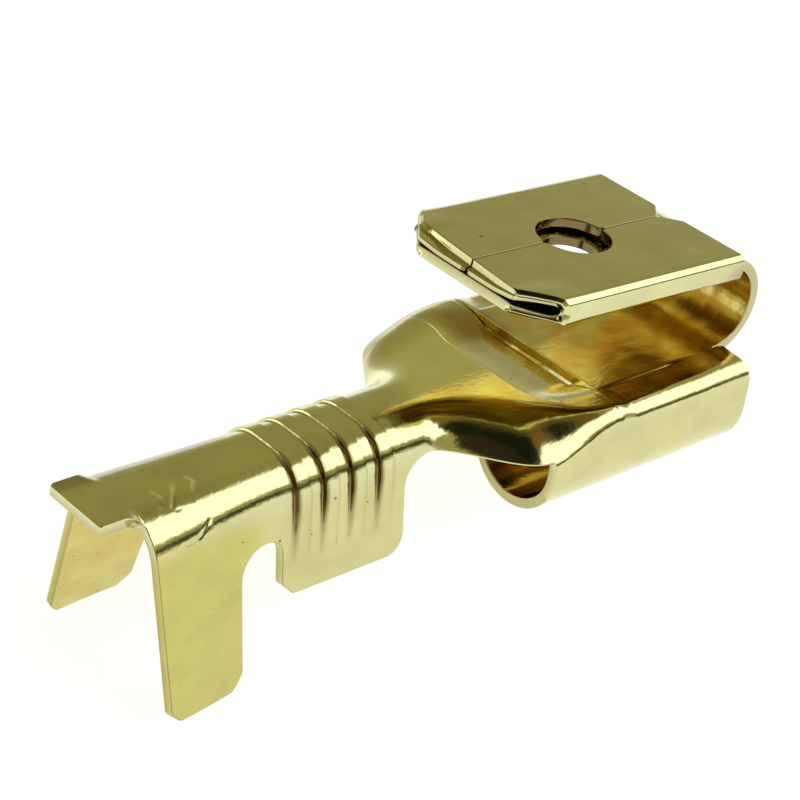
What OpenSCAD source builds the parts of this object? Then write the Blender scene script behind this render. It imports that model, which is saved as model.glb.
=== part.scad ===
// Piggyback blade terminal, stamped and folded from one strip of brass sheet.
// It is folded up with its base flat on z = 0, the mouth of the socket at x = 0 and the wire
// end towards -x. The last step lays it down as it rests: on the tips of its long wings and
// on the front edges of its two curls.

/* [Sheet] */
// Thickness of the brass sheet
sheet_t = 0.3; // [0.26:0.01:0.34]

/* [Socket] */
// Width over both curls
socket_w = 7.6; // [7.2:0.1:8]
// Length of the curls, from the mouth to their cut rear ends
socket_l = 7.85; // [7.7:0.05:8.5]
// Height from the top of the base to the bottom of the curls
socket_h = 3.1; // [2.9:0.05:3.3]
// Outer radius of the folds where the base turns down into the curls
fold_r = 0.6; // [0.45:0.05:0.75]
// Outer radius of the curls
curl_r = 1.6; // [1.4:0.05:1.7]
// Height left under the base for the mating blade
slot_h = 0.8; // [0.75:0.01:0.95]

/* [Blade stop] */
// Distance from the mouth to the lanced front edge of the stop
stop_pos = 5.3; // [5:0.1:5.5]
// Length of the stop along the base
stop_l = 1.85; // [1.5:0.05:2]
// Width of the stop across the base
stop_w = 5.2; // [4.4:0.1:5.4]
// Depth that the stop is pressed down
stop_depth = 0.6; // [0.5:0.02:0.66]
// Radius of the stop's two rear corners
stop_r = 0.8; // [0.4:0.1:1]

/* [Bridge] */
// Width of the strip that bends up from the mouth to the tab
bridge_w = 5; // [4.4:0.1:5.4]
// Clear height inside the bend
bridge_gap = 2.56; // [2.2:0.02:2.9]
// Distance that the bend starts behind the mouth
bridge_set = 0.4; // [0.3:0.05:0.8]

/* [Tab] */
// Width of the tab over its two folds
tab_w = 6.3; // [6:0.1:6.6]
// Length of the tab's folded part
tab_l = 8.25; // [7.7:0.05:8.6]
// Air left between the tab's two layers
tab_air = 0.12; // [0.04:0.01:0.16]
// Angle that the free end of the tab stands up
tab_tilt = 3.3; // [0:0.1:5]
// Length of the chamfers at the free end
tip_l = 1.15; // [0.8:0.05:1.4]
// Width of the chamfers at the free end
tip_w = 1.25; // [0.9:0.05:1.5]
// Length of the ledge coined into the free end
ledge_l = 0.3; // [0.15:0.05:0.4]
// Depth of that ledge
ledge_h = 0.15; // [0.05:0.01:0.2]
// Width of the seam between the tab's two top halves
seam_w = 0.05; // [0.02:0.01:0.1]
// Size of the chamfers where the seam meets the bridge
seam_cut = 0.55; // [0.3:0.05:0.8]
// Diameter of the hole through the tab's lower layer
hole_d = 1.7; // [1.6:0.1:2]
// Diameter of the wider hole through its two folded flaps
flap_hole_d = 2.2; // [2:0.1:2.6]
// Distance of the hole from the bridge end of the tab
hole_pos = 4.05; // [3.6:0.05:4.4]

/* [Neck] */
// Length over which the neck's lower edges flare out to the socket
neck_l = 2.65; // [2.3:0.05:3]
// Length over which the flat top of the neck widens, which makes its flanks sloping shoulders
shoulder_l = 4.1; // [3.6:0.1:4.3]
// Distance from the mouth to where the flat top has its full width
shoulder_pos = 5.6; // [5.4:0.05:6]
// Distance from the mouth to where the shoulders have become tight folds
fold_pos = 6.4; // [6.1:0.05:7]
// Outer radius where the shoulders turn down into the socket's walls
hip_r = 0.4; // [0.4:0.02:0.5]
// Depth of the flange along the neck
flange_h = 0.95; // [0.85:0.05:1.1]
// Length of bare channel between the neck and the wire wings
throat_l = 0.75; // [0.6:0.05:1]

/* [Wire barrel] */
// Width of the flat on top of the barrel
crown_w = 0.7; // [0.5:0.05:0.9]
// Outer radius of the barrel's bends at the wire wings
wire_r = 1.2; // [1.05:0.05:1.35]
// Angle that the wire wings lean out
wire_lean = 8; // [4:1:12]
// Length of the wire wings
wire_l = 4.25; // [4.2:0.05:4.8]
// Depth of the wire wings below the base
wire_h = 3.7; // [3.3:0.1:4.1]
// Number of pressed ribs across the barrel
rib_n = 4; // [2:1:4]
// Spacing of the ribs
rib_pitch = 0.98; // [0.9:0.02:1.05]
// Width of one rib
rib_w = 0.5; // [0.4:0.02:0.6]
// Height of the ribs above the barrel
rib_h = 0.1; // [0.06:0.01:0.14]
// Depth at which the ribs end on the wings
rib_depth = 2.1; // [1.6:0.1:2.6]

/* [Insulation barrel] */
// Gap between the wire wings and the insulation wings
wing_gap = 1.6; // [1.3:0.05:1.8]
// Depth of the round top of that gap below the base
gap_top = 1.5; // [1.35:0.05:1.8]
// Outer radius of the barrel's bends at the insulation wings
grip_r = 1.6; // [1.45:0.05:1.75]
// Angle that the insulation wings lean out
grip_lean = 13; // [6:0.5:16]
// Length of the insulation wings
grip_l = 2.7; // [2.4:0.1:3.2]
// Depth of the insulation wings at their front corner
grip_h = 5.75; // [5.3:0.05:6.2]
// Angle of the insulation wings' lower edge
grip_rake = 4; // [0:1:10]
// Chamfer on the lower corners of the wings
wing_cut = 0.4; // [0.2:0.05:0.5]

/* [Tail] */
// Width of the cut-off tongue behind the insulation wings
tail_w = 2.25; // [1.8:0.05:2.4]
// Length of the cut-off tongue
tail_l = 1.25; // [0.9:0.05:1.6]

/* [Hidden] */
$fn = 64;
bend_steps = 6;
hip_steps = 2;
neck_steps = 18;
blend_steps = 4;
brass = [0.74, 0.65, 0.32];

// Stations along the strip, counted back from the mouth
socket_x = -socket_l;
flare_gap = 0.15;
neck_front_x = socket_x - flare_gap;
neck_rear_x = neck_front_x - neck_l;
wire_front_x = neck_rear_x - throat_l;
shoulder_x = -shoulder_pos;
fold_x = -fold_pos;
wire_rear_x = wire_front_x - wire_l;
grip_front_x = wire_rear_x - wing_gap;
grip_rear_x = grip_front_x - grip_l;
tail_x = grip_rear_x - tail_l;

// Socket: height of the curls' centres and the angle that each curl runs past level
curl_z = curl_r - socket_h;
curl_over = asin((curl_z * -1 - sheet_t - slot_h) / curl_r);

// Bridge and tab: the tab's height over both layers, and where its folded part begins
bend_in = bridge_gap / 2;
bend_out = bend_in + sheet_t;
tab_h = 2 * sheet_t + tab_air;
tab_set = 0.2;

// Rib positions sit a little forward of the middle of the wire wings
rib_ahead = 0.05;
rib_mid_x = (wire_front_x + wire_rear_x) / 2 + rib_ahead;
// Slits on both sides of the bridge's root, and how far cuts run past what they cut
relief = 0.08;
over = 1;
// The neck runs into the socket by this length. It is thinned just before it enters, so that its
// faces stay inside. The curls reach up into the walls above them by the last one.
lap = 0.25;
lap_step = 0.01;
lap_thin = 0.02;
curl_lap = 0.1;
wing_spare = 0.6;
wing_reach = grip_h + wing_spare;

// Rest: pitch of the base when wing tips and mouth edges touch the floor, and the shift that
// puts the middle of the lowest face of the bounding box at the origin
rest_tip_x = grip_front_x - wing_cut;
rest_pitch = atan2(grip_h - socket_h, -rest_tip_x);
rest_x_max = -bridge_set * cos(rest_pitch) + bend_in * sin(rest_pitch) + bend_out;
rest_x_min = tail_x * cos(rest_pitch) - sheet_t * sin(rest_pitch);
rest_shift = [-(rest_x_max + rest_x_min) / 2, 0, socket_h * cos(rest_pitch)];

function smooth(t) = t * t * (3 - 2 * t);
function mix(a, b, t) = a + (b - a) * t;
function eased(x, start, end) = smooth(max(0, min(1, (x - start) / (end - start))));

// One side of a channel: the end of its flat top, its bend, and its wall down to the wings' reach.
// The section is half the flat's width, the radius of the outer face, and the lean of the wall.
function side_points(half, r, centre_z, lean) =
    let (turn = 90 - lean,
         bend = [for (i = [0:bend_steps]) let (g = turn * i / bend_steps)
             [half + r * sin(g), centre_z + r * cos(g)]],
         last = bend[bend_steps])
    concat(bend, [[last[0] + (last[1] + wing_reach) * tan(lean), -wing_reach]]);

function both_sides(points) =
    concat([for (i = [len(points) - 1:-1:0]) points[i]], [for (p = points) [-p[0], p[1]]]);

// One side of the strip where its bend may be a sloping shoulder. The shoulder leaves the flat top
// level and passes through a point that lies reach further out and drop lower, so it turns by twice
// the angle whose tangent is drop / reach. A tight hip turns on from there into the wall. The reach
// is settled until the wall stands width out from the flat, and at least hip_turn is left for the
// hip. Inset points lie below the outer face.
hip_turn = 2;
settle_steps = 8;
function shoulder_turn(reach, drop, turn) = min(2 * atan(drop / reach), turn - hip_turn);
function settled(width, drop, turn, reach, left) = left == 0 ? reach :
    settled(width, drop, turn, width - hip_r * (sin(turn) - sin(shoulder_turn(reach, drop, turn))), left - 1);
function shoulder_points(half, width, drop, lean, inset) =
    let (turn = 90 - lean,
         reach = settled(width, drop, turn, width, settle_steps),
         first = shoulder_turn(reach, drop, turn),
         r = reach / sin(first),
         hip = [half + (r - hip_r) * sin(first), -r + (r - hip_r) * cos(first)],
         slope = [for (i = [0:bend_steps]) let (g = first * i / bend_steps)
             [half + (r - inset) * sin(g), -r + (r - inset) * cos(g)]],
         corner = [for (i = [1:hip_steps]) let (g = mix(first, turn, i / hip_steps))
             hip + (hip_r - inset) * [sin(g), cos(g)]],
         last = corner[hip_steps - 1])
    concat(slope, corner, [[last[0] + (last[1] + wing_reach) * tan(lean), -wing_reach]]);

// A closed loop round the channel's section: the outer face, then the inner face back again
function channel_loop(half, width, drop, lean, thin) =
    let (outer = both_sides(shoulder_points(half, width, drop, lean, thin)),
         inner = both_sides(shoulder_points(half, width, drop, lean, sheet_t - thin)))
    concat(outer, [for (i = [len(inner) - 1:-1:0]) inner[i]]);

// Width and drop of a plain bend of radius r that ends in a wall with that lean
function bend_width(r, lean) = r * cos(lean);
function bend_drop(r, lean) = r * (1 - sin(lean));

// Each station is [x, half the flat, width of the bend, its drop, lean of the wall, thinning]
grip_bend = [bend_width(grip_r, grip_lean), bend_drop(grip_r, grip_lean), grip_lean];
wire_bend = [bend_width(wire_r, wire_lean), bend_drop(wire_r, wire_lean), wire_lean];
tail_spare = 0.1;
tail_flat = tail_w / 2 + tail_spare;
tail_flats = [[tail_x, tail_flat], [grip_rear_x - tail_l / 2, tail_flat], [grip_rear_x, crown_w / 2]];
tail_stations = [for (place = tail_flats) [place[0], place[1], each grip_bend, 0]];
blend_stations = [for (i = [0:blend_steps]) let (t = i / blend_steps)
    [mix(grip_front_x, wire_rear_x, t), crown_w / 2, each mix(grip_bend, wire_bend, smooth(t)), 0]];
neck_stations = [for (i = [0:neck_steps])
    let (x = mix(neck_rear_x, shoulder_x - lap_step, i / neck_steps),
         flare = eased(x, neck_rear_x, neck_front_x),
         half = mix(crown_w / 2, socket_w / 2 - fold_r, eased(x, shoulder_x - shoulder_l, shoulder_x)),
         edge = mix(crown_w / 2 + wire_bend[0], socket_w / 2, flare),
         drop = mix(mix(wire_bend[1], flange_h, flare), fold_r, eased(x, socket_x, fold_x)))
    [x, half, edge - half, drop, wire_lean * (1 - flare), 0]];
lap_stations = [for (step = [0, lap])
    [shoulder_x + step, socket_w / 2 - fold_r, fold_r, fold_r, 0, lap_thin]];

// A folded channel that runs through a list of stations
module folded_channel(stations) {
    loops = [for (s = stations) channel_loop(s[1], s[2], s[3], s[4], s[5])];
    n = len(loops[0]);
    last = len(stations) - 1;
    points = [for (k = [0:last]) for (p = loops[k]) [stations[k][0], p[0], p[1]]];
    sides = [for (k = [0:last - 1]) for (i = [0:n - 1]) let (j = (i + 1) % n)
        for (f = [[k * n + i, (k + 1) * n + i, (k + 1) * n + j], [k * n + i, (k + 1) * n + j, k * n + j]]) f];
    cap = [for (i = [0:n / 2 - 2]) [i, i + 1, n - 2 - i, n - 1 - i]];
    rear = [for (f = cap) f];
    front = [for (f = cap) [for (i = [3:-1:0]) last * n + f[i]]];
    polyhedron(points, concat(sides, rear, front));
}

// Side views of the wings, drawn in x and z
module wire_wing_view() {
    round_r = 0.6;
    difference() {
        translate([wire_rear_x, -wire_h]) square([wire_l, wire_h + over]);
        translate([wire_front_x - round_r, -wire_h]) difference() {
            translate([0, -over]) square([round_r + over, round_r + over]);
            translate([0, round_r]) circle(round_r);
        }
        polygon([[wire_rear_x - over, -wire_h + wing_cut + over], [wire_rear_x - over, -wire_h - over],
            [wire_rear_x + wing_cut + over, -wire_h - over]]);
    }
}

module grip_wing_view() {
    rise = (grip_l - 2 * wing_cut) * tan(grip_rake);
    polygon([[grip_rear_x, over], [grip_rear_x, -grip_h + rise + wing_cut],
        [grip_rear_x + wing_cut, -grip_h + rise], [grip_front_x - wing_cut, -grip_h],
        [grip_front_x, -grip_h + wing_cut], [grip_front_x, over]]);
}

// The strip's side view: everything that stays after the blank is cut
module strip_view() {
    fillet = 0.5;
    fillet_lap = 0.1;
    translate([tail_x, -over]) square([tail_l, 2 * over]);
    translate([grip_rear_x, -flange_h]) square([shoulder_x + lap - grip_rear_x, flange_h + over]);
    translate([socket_x, curl_z]) square([shoulder_x + lap - socket_x, over - curl_z]);
    wire_wing_view();
    grip_wing_view();
    difference() {
        translate([grip_front_x, -gap_top - wing_gap / 2]) square([wing_gap, gap_top + wing_gap / 2]);
        translate([grip_front_x + wing_gap / 2, -gap_top - wing_gap / 2]) circle(wing_gap / 2);
    }
    difference() {
        translate([wire_front_x - fillet_lap, -flange_h - fillet]) square(fillet + fillet_lap);
        translate([wire_front_x + fillet, -flange_h - fillet]) circle(fillet);
    }
}

// A band of the barrel's section between two radii, as long as one rib
module rib_band(r_low, r_high) {
    points = concat(both_sides(side_points(crown_w / 2, r_high, -wire_r, wire_lean)),
        both_sides([for (p = side_points(crown_w / 2, r_low, -wire_r, wire_lean)) [-p[0], p[1]]]));
    for (i = [0:rib_n - 1])
        translate([rib_mid_x + (i - (rib_n - 1) / 2) * rib_pitch - rib_w / 2, 0, 0])
            rotate([90, 0, 90]) linear_extrude(rib_w) intersection() {
                polygon(points);
                translate([-socket_w, -rib_depth]) square([2 * socket_w, rib_depth + over]);
            }
}

module crimp_and_neck() {
    difference() {
        intersection() {
            union() {
                folded_channel(concat(tail_stations, blend_stations, neck_stations, lap_stations));
                rib_band(wire_r - sheet_t / 2, wire_r + rib_h);
            }
            rotate([90, 0, 0]) linear_extrude(4 * socket_w, center = true) strip_view();
        }
        rib_band(wire_r - 2 * sheet_t, wire_r - sheet_t + rib_h);
        for (side = [-1, 1])
            translate([tail_x - over, side * (tail_w / 2 + socket_w) - socket_w, -grip_r])
                cube([tail_l + over, 2 * socket_w, grip_r + over]);
    }
}

// Half of the socket's front section above its curls, in y and z: flat base, fold and wall
module base_half_section() {
    translate([0, -sheet_t]) square([socket_w / 2 - fold_r, sheet_t]);
    translate([socket_w / 2 - fold_r, -fold_r]) intersection() {
        difference() {
            circle(fold_r);
            circle(fold_r - sheet_t);
        }
        square(fold_r);
    }
    translate([socket_w / 2 - sheet_t, curl_z]) square([sheet_t, -curl_z - fold_r]);
}

// Section of one curl
module curl_section() {
    translate([socket_w / 2 - sheet_t, curl_z]) square([sheet_t, curl_lap]);
    translate([socket_w / 2 - curl_r, curl_z]) difference() {
        circle(curl_r);
        circle(curl_r - sheet_t);
        square(curl_r + over);
        polygon([[0, 0], [0, curl_r + over], [-curl_r - over, curl_r + over],
            [-curl_r - over, (curl_r + over) * tan(curl_over)]]);
    }
}

// Both sides of a half section, carried from x to the mouth
module to_mouth(x) {
    translate([x, 0, 0]) rotate([90, 0, 90]) linear_extrude(-x) {
        children();
        mirror([1, 0]) children();
    }
}

// Plan of the stop's pocket, grown outwards except at its lanced front edge
module stop_plan(grow) {
    rear = -stop_pos - stop_l - grow;
    width = stop_w + 2 * grow;
    corner = stop_r + grow;
    translate([rear + corner, -width / 2]) square([-stop_pos - rear - corner, width]);
    translate([rear, -width / 2 + corner]) square([corner, width - 2 * corner]);
    for (side = [-1, 1]) translate([rear + corner, side * (width / 2 - corner)]) circle(corner);
}

module socket() {
    difference() {
        union() {
            to_mouth(shoulder_x) base_half_section();
            to_mouth(socket_x) curl_section();
        }
        translate([-bridge_set, -bridge_w / 2 - relief, -2 * sheet_t])
            cube([bridge_set + over, bridge_w + 2 * relief, 3 * sheet_t]);
    }
}

// The blade stop, pressed down out of whatever is drawn as its children
module with_stop() {
    difference() {
        union() {
            children();
            translate([0, 0, -stop_depth - sheet_t])
                linear_extrude(stop_depth + sheet_t / 2) stop_plan(sheet_t);
        }
        translate([0, 0, -stop_depth]) linear_extrude(stop_depth + over) stop_plan(0);
    }
}

module bridge() {
    translate([-bridge_set, 0, bend_in]) rotate([90, 0, 0]) rotate([0, 0, -90])
        rotate_extrude(angle = 180 - tab_tilt)
            translate([bend_in, -bridge_w / 2]) square([sheet_t, bridge_w]);
}

// The tab's section, in y and z: one layer below, both edges folded over to meet at the seam
module tab_section() {
    round_r = tab_h / 2;
    hole_r = tab_air / 2;
    flat = tab_w - tab_h;
    difference() {
        union() {
            translate([-flat / 2, 0]) square([flat, tab_h]);
            for (side = [-1, 1]) translate([side * flat / 2, round_r]) circle(round_r);
        }
        translate([-flat / 2, sheet_t]) square([flat, tab_air]);
        for (side = [-1, 1]) translate([side * flat / 2, round_r]) circle(hole_r);
        translate([-seam_w / 2, round_r]) square([seam_w, tab_h]);
    }
}

// The tab in its own frame: x = 0 where the bridge ends, its lower face on z = 0
module tab() {
    tip_x = -tab_set - tab_l;
    hole_x = -tab_set - hole_pos;
    tip_slope = tip_w / tip_l;
    flap_z = sheet_t + tab_air / 2;
    translate([-tab_set - sheet_t, -bridge_w / 2, 0]) cube([tab_set + sheet_t, bridge_w, sheet_t]);
    difference() {
        translate([tip_x, 0, 0]) rotate([90, 0, 90]) linear_extrude(tab_l) tab_section();
        for (side = [-1, 1]) translate([0, 0, -over]) linear_extrude(tab_h + 2 * over)
            polygon([[tip_x + tip_l + over, side * (tab_w / 2 + over * tip_slope)],
                [tip_x - over, side * (tab_w / 2 + over * tip_slope)],
                [tip_x - over, side * (tab_w / 2 - tip_w - over * tip_slope)]]);
        translate([0, 0, flap_z]) linear_extrude(tab_h)
            polygon([[-tab_set + over, -seam_cut - over], [-tab_set + over, seam_cut + over],
                [-tab_set - seam_cut, 0]]);
        translate([tip_x - over, -tab_w, tab_h - ledge_h]) cube([ledge_l + over, 2 * tab_w, over]);
        translate([hole_x, 0, -over]) cylinder(d = hole_d, h = tab_h + 2 * over);
        translate([hole_x, 0, flap_z]) cylinder(d = flap_hole_d, h = tab_h);
    }
}

module terminal() {
    color(brass)
        translate(rest_shift) rotate([0, rest_pitch, 0]) {
            with_stop() {
                crimp_and_neck();
                socket();
            }
            bridge();
            translate([-bridge_set, 0, bend_in]) rotate([0, tab_tilt, 0]) translate([0, 0, bend_in]) tab();
        }
}

terminal();
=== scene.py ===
# %% [markdown]
# # A piggyback blade terminal, folded from one strip of brass
#
# The real part starts as a flat blank, stamped out of 0.3 mm brass sheet. A press then rolls its
# sides under to make a socket, bends its front strip back over itself, folds that strip's edges in
# to make a second blade, and raises two pairs of wings that a crimping tool will close on a wire.
# The script makes it the same way: it draws the flat blank, covers it with a fine grid, and folds
# every grid point by a formula. A box model with bevels would be quicker to start, but the soft
# flare of the neck and the rolled curls come out truer from the fold itself.
#
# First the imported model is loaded. It fixes the frame and the size that this model keeps to.

import bpy
import numpy as np
from mathutils import Matrix, Vector


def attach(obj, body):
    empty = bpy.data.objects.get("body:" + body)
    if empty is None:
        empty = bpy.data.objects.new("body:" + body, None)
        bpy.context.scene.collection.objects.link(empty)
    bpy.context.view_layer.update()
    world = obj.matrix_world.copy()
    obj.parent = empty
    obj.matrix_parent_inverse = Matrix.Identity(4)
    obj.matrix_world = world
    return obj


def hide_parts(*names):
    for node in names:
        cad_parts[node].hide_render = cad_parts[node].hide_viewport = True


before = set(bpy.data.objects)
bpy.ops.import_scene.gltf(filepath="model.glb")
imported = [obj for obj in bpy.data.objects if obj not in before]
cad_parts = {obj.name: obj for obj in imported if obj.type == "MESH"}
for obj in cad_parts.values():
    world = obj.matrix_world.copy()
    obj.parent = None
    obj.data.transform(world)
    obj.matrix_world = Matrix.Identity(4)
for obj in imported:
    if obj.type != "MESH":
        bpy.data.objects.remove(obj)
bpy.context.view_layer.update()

# %% [markdown]
# ## Sizes
#
# All sizes are in millimetres, with the base of the socket flat at height 0, the socket's mouth at
# x = 0 and the wire end towards minus x. A point of the flat blank is given by u, its place along
# the strip, and v, its distance from the middle line. As long as the strip runs straight, u and x
# are the same.

# %% Sizes of the strip
sheet = 0.3
half_sheet = sheet / 2
edge_round = 0.035

tail_x = -21.2
grip_rear = -19.95
grip_front = -17.1
wire_rear = -15.65
wire_front = -11.4
neck_rear = -10.65
neck_front = -8.0
curl_rear = -7.85
tail_half = 1.125

crown_half = 0.35
grip_r = 1.6
grip_lean = np.radians(13)
wire_r = 1.2
wire_lean = np.radians(8)
flange_depth = 0.95

socket_half = 3.8
socket_depth = 3.1
fold_r = 0.6
hip_r = 0.4
curl_r = 1.6
slot_height = 0.8

bridge_half = 2.5
bridge_relief = 0.024
bend_start = -0.4
bend_inner = 1.28
bend_mid = bend_inner + half_sheet

tab_half = 3.06
tab_length = 8.25
tab_gap = 0.12
tab_height = 2 * sheet + tab_gap
tab_tilt = np.radians(3.3)
tab_set = 0.2
print("The strip is", sheet, "mm thick, and", socket_half * 2, "mm wide over its socket")

# %% [markdown]
# ## A profile of straight and round runs
#
# Seen from the end, every part of the strip is a chain of straight stretches and arcs: flat top,
# bend, wall, curl. One function walks along such a chain. It is used for the barrels, the neck,
# the socket and the folded tab alike.

# %% Walking along a profile
def ease(value, start, end):
    """0 up to start and 1 from end. Between them, with t the share covered, it is 3 t^2 - 2 t^3."""
    share = np.clip((value - start) / (end - start), 0, 1)
    return share * share * (3 - 2 * share)


def between(value, start, full, fall, end):
    """A band that eases in from start to full and out again from fall to end."""
    return ease(value, start, full) * (1 - ease(value, fall, end))


def bell(offset, width):
    """A bell curve: e to the power of minus the square of offset / width."""
    return np.exp(-((offset / width) ** 2))


def walk(distance, runs):
    """Go a distance along a chain of runs and return how far that is across and how far up.

    Each run is (length, turn). It is an arc, or a straight line where its turn is 0. With a for
    half the turn made so far, its chord is sin(a) / a times its length and points along the
    heading at its start plus a. A positive turn bends the chain down."""
    across = np.zeros_like(distance)
    height = np.zeros_like(distance)
    heading = np.zeros_like(distance)
    left = distance
    for length, turn in runs:
        step = np.clip(left, 0, length)
        half_turn = 0.5 * turn * step / np.maximum(length, 1e-9)
        chord = step * np.sinc(half_turn / np.pi)
        across = across + chord * np.cos(heading + half_turn)
        height = height - chord * np.sin(heading + half_turn)
        heading = heading + 2 * half_turn
        left = np.maximum(left - length, 0)
    return across, height


quarter = np.array(np.pi / 2)
print("A quarter circle of radius 1 ends at", np.round(walk(quarter, [(quarter, quarter)]), 3))

# %% [markdown]
# ## The section along the strip
#
# The strip's section changes on the way from the wire end to the mouth. The insulation barrel and
# the wire barrel are a narrow flat with a round bend on each side. In the neck the outer edge
# flares out first and the flat top follows later, so its flank is a broad sloping shoulder. In the
# socket that shoulder has become a tight fold, a wall and a curl.

# %% Section of the strip
shoulder_start = -9.7
shoulder_end = -5.6
fold_formed = -6.4
tongue_flare = 0.6
narrow_start = grip_rear - 0.65
narrow_end = wire_rear + 0.45
long_wall = 30.0
least_hip = np.radians(2)
settle_passes = 8
curl_mid = curl_r - half_sheet
curl_turn = np.pi + np.arcsin((socket_depth - curl_r - sheet - slot_height) / curl_r)


def bend_reach(radius, lean):
    """How far out and down a bend of that outer radius goes until its wall has that lean."""
    return radius * np.cos(lean), radius * (1 - np.sin(lean))


def shoulder_turn(drop, reach, turn):
    """Twice the angle whose tangent is drop / reach, with a little of the turn kept for the hip."""
    return np.minimum(2 * np.arctan2(drop, reach), turn - least_hip)


def section(u):
    """Flat half width, shoulder turn and radius, and final turn of the section at each u.

    The shoulder is the arc that leaves the flat level and passes through a point that lies reach
    further out and drop lower. A tight hip turns on from there. The reach is settled in a few
    passes, until the wall stands at the edge."""
    grip_reach, grip_drop = bend_reach(grip_r, grip_lean)
    wire_reach, wire_drop = bend_reach(wire_r, wire_lean)
    on_tongue = 1 - ease(u, grip_rear - tongue_flare, grip_rear)
    to_wire = ease(u, narrow_start, narrow_end)
    to_neck = ease(u, neck_rear, neck_front)
    to_base = ease(u, shoulder_start, shoulder_end)
    to_fold = ease(u, curl_rear, fold_formed)
    widen = (tail_half - crown_half) * on_tongue
    flat = crown_half + widen + (socket_half - fold_r - crown_half) * to_base
    edge = crown_half + widen + grip_reach + (wire_reach - grip_reach) * to_wire
    edge = edge + (socket_half - crown_half - wire_reach) * to_neck
    drop = grip_drop + (wire_drop - grip_drop) * to_wire
    drop = drop + (flange_depth - wire_drop) * to_neck + (fold_r - flange_depth) * to_fold
    turn = np.pi / 2 - (grip_lean + (wire_lean - grip_lean) * to_wire - wire_lean * to_neck)
    reach = edge - flat
    for again in range(settle_passes):
        reach = edge - flat - hip_r * (np.sin(turn) - np.sin(shoulder_turn(drop, reach, turn)))
    shoulder = shoulder_turn(drop, reach, turn)
    return flat, shoulder, reach / np.sin(shoulder), turn


def section_runs(u):
    """Runs of the sheet's middle surface: flat, shoulder, hip, wall and, in the socket, a curl."""
    flat, shoulder, radius, turn = section(u)
    depth = radius * (1 - np.cos(shoulder)) + hip_r * (np.cos(shoulder) - np.cos(turn))
    wall = np.where(u < curl_rear - edge_round, long_wall, socket_depth - curl_r - depth)
    return [
        (flat, 0.0),
        ((radius - half_sheet) * shoulder, shoulder),
        ((hip_r - half_sheet) * (turn - shoulder), turn - shoulder),
        (wall, 0.0),
        (curl_mid * curl_turn, curl_turn),
        (long_wall, 0.0),
    ]


def width_at_depth(u, depth):
    """Distance across the blank at which the outer face has come down by depth, on a barrel."""
    flat, shoulder, radius, turn = section(u)
    drop = radius * (1 - np.cos(shoulder))
    foot = drop + hip_r * (np.cos(shoulder) - np.cos(turn))
    bent = np.arccos(np.clip(1 - depth / radius, -1, 1))
    tight = np.arccos(np.clip(np.cos(shoulder) - (depth - drop) / hip_r, -1, 1))
    on_shoulder = (radius - half_sheet) * np.minimum(bent, shoulder)
    on_hip = (hip_r - half_sheet) * np.clip(tight - shoulder, 0, turn - shoulder)
    on_wall = np.maximum(depth - foot, 0) / np.sin(turn)
    return flat + on_shoulder + np.where(depth > drop, on_hip, 0) + on_wall


print("Each curl turns by", round(float(np.degrees(curl_turn))), "degrees")

# %% [markdown]
# ## Bend and tab
#
# At the mouth the middle strip turns back over the socket in a half circle, a few degrees short
# of a full one, so that the tab's free end stands up a little. The tab is wider than that strip.
# Both of its edges are folded in until they nearly meet at a seam along its middle.

# %% The fold of the whole strip
bend_turn = np.pi - tab_tilt
bend_end = bend_start + bend_mid * bend_turn
tab_start = bend_end + tab_set
tab_end = tab_start + tab_length
tab_fold_mid = (tab_height - sheet) / 2
tab_flat = tab_half - tab_height / 2
tab_fold = np.pi * tab_fold_mid
seam_half = 0.012
seam_v = 2 * tab_flat + tab_fold - seam_half
fold_v = tab_flat + tab_fold / 2
curl_end_v = float(sum(run[0] for run in section_runs(np.array(-1.0))[:-1]))
slit_v = bridge_half + bridge_relief / 2


def past_bend(u, v):
    """True on the bend, between its two slits, and on the whole of the tab."""
    return ((u > bend_start) & (np.abs(v) < slit_v)) | (u > bend_end / 2)


def folded(u, v):
    """Middle surface of the folded sheet.

    Up to the mouth, x is u and the section is walked across by v. Past the start of the bend the
    point lies on a spoke of the bend's circle, and past its end it runs on along the last tangent.
    There the tab's own profile is walked across, and its height adds to the spoke's length."""
    side = np.sign(v)
    reach = np.abs(v)
    across, height = walk(reach, section_runs(u))
    strip = np.stack([u, side * across, height - half_sheet], -1)
    angle = np.clip(u - bend_start, 0, bend_end - bend_start) / bend_mid
    past = np.maximum(u - bend_end, 0)
    tab_runs = [(tab_flat, 0.0), (tab_fold, -np.pi), (long_wall, 0.0)]
    across, height = walk(reach, tab_runs)
    spoke = bend_mid + height
    turned_x = bend_start + spoke * np.sin(angle) + past * np.cos(angle)
    turned_z = bend_inner - spoke * np.cos(angle) + past * np.sin(angle)
    turned = np.stack([turned_x, side * across, turned_z], -1)
    return np.where(past_bend(u, v)[..., None], turned, strip)


def unit(vectors):
    """Each vector divided by its length."""
    return vectors / np.linalg.norm(vectors, axis=-1, keepdims=True)


def changes(formula, u, v, step):
    """Change of a formula along u and across v, each between points one step to either side."""
    along = formula(u + step, v) - formula(u - step, v)
    return along, formula(u, v + step) - formula(u, v - step)


def surface_normal(surface, u, v, step=1e-4):
    """Cross product of a surface's changes along and across the strip, as a unit vector."""
    return unit(np.cross(*changes(surface, u, v, step)))


blank_size = np.round([tab_end - tail_x, 2 * curl_end_v], 2)
print("The flat blank is", blank_size[0], "mm long and", blank_size[1], "mm wide")

# %% [markdown]
# ## Ribs
#
# Four ribs stand up across the wire barrel and stiffen it for the crimp. A press raises them from
# inside. Like everything else that is stamped, they are heights along the sheet's normal here, so
# they follow the barrel round its bends. They are highest on the near bend.

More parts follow.
